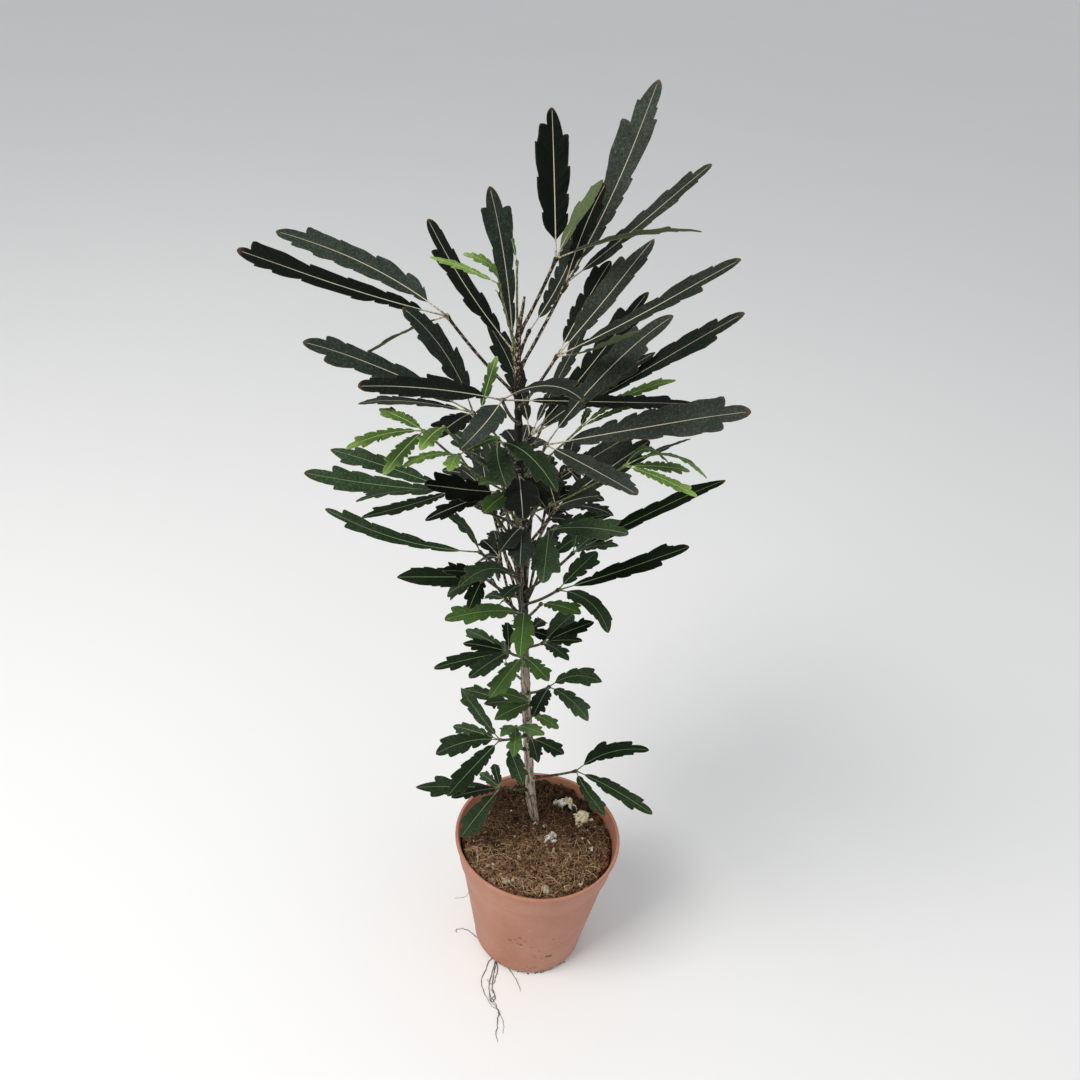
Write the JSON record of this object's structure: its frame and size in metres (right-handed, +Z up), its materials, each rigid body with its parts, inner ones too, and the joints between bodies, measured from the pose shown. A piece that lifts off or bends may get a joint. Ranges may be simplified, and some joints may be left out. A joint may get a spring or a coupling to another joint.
{
  "type": "potted false aralia",
  "caption": "Upright potted foliage plant with long toothed leaflets in palmate leaves on a slim stem, in a tapered terracotta-coloured nursery pot filled with peat.",
  "frame": {"origin": "middle of the pot's flat underside", "axes": "+Z up along the plant, -Y towards the side that the picture shows, +X to that view's right"},
  "size_m": [0.261, 0.2743, 0.6202],
  "materials": {
    "pot": "matte terracotta-coloured moulded plastic, a little dusty",
    "soil": "dark peat and coir with tan fibres and pale crumbs",
    "bark": "grey-brown bark, darker and speckled cream higher up",
    "leaf_dark": "satin, near black green with a cream midrib",
    "leaf_grey": "satin, grey green with a cream midrib",
    "leaf_mid": "satin, mid green with a pale midrib",
    "leaf_light": "satin, fresh green with a pale midrib",
    "leaf_young": "soft satin, yellow green young growth"
  },
  "bodies": {
    "root": {"pot": "pot", "soil": "soil", "stem": "bark", "leaf_01": "leaf_dark", "leaf_02": "leaf_young", "leaf_03": "leaf_young", "leaf_04": "leaf_dark", "leaf_05": "leaf_grey", "leaf_06": "leaf_dark", "leaf_07": "leaf_dark", "leaf_08": "leaf_grey", "leaf_09": "leaf_dark", "leaf_10": "leaf_dark", "leaf_11": "leaf_young", "leaf_12": "leaf_dark", "leaf_13": "leaf_young", "leaf_14": "leaf_grey", "leaf_15": "leaf_young", "leaf_16": "leaf_young", "leaf_17": "leaf_young", "leaf_18": "leaf_mid", "leaf_19": "leaf_young", "leaf_20": "leaf_mid", "leaf_21": "leaf_dark", "leaf_22": "leaf_dark", "leaf_23": "leaf_dark", "leaf_24": "leaf_light", "leaf_25": "leaf_dark", "leaf_26": "leaf_dark", "leaf_27": "leaf_mid", "leaf_28": "leaf_mid", "leaf_29": "leaf_dark", "leaf_30": "leaf_dark", "leaf_31": "leaf_mid", "leaf_32": "leaf_mid", "leaf_33": "leaf_mid", "leaf_34": "leaf_mid", "leaf_35": "leaf_mid", "leaf_36": "leaf_mid", "leaf_37": "leaf_light", "leaf_38": "leaf_light", "leaf_39": "leaf_mid", "leaf_40": "leaf_mid", "leaf_41": "leaf_light", "leaf_42": "leaf_mid", "leaf_43": "leaf_mid", "leaf_44": "leaf_light", "leaf_45": "leaf_mid", "leaf_46": "leaf_light", "leaf_47": "leaf_light", "leaf_48": "leaf_mid", "leaf_49": "leaf_mid", "leaf_50": "leaf_mid", "leaf_51": "leaf_mid", "leaf_52": "leaf_mid"}
  },
  "joints": []
}
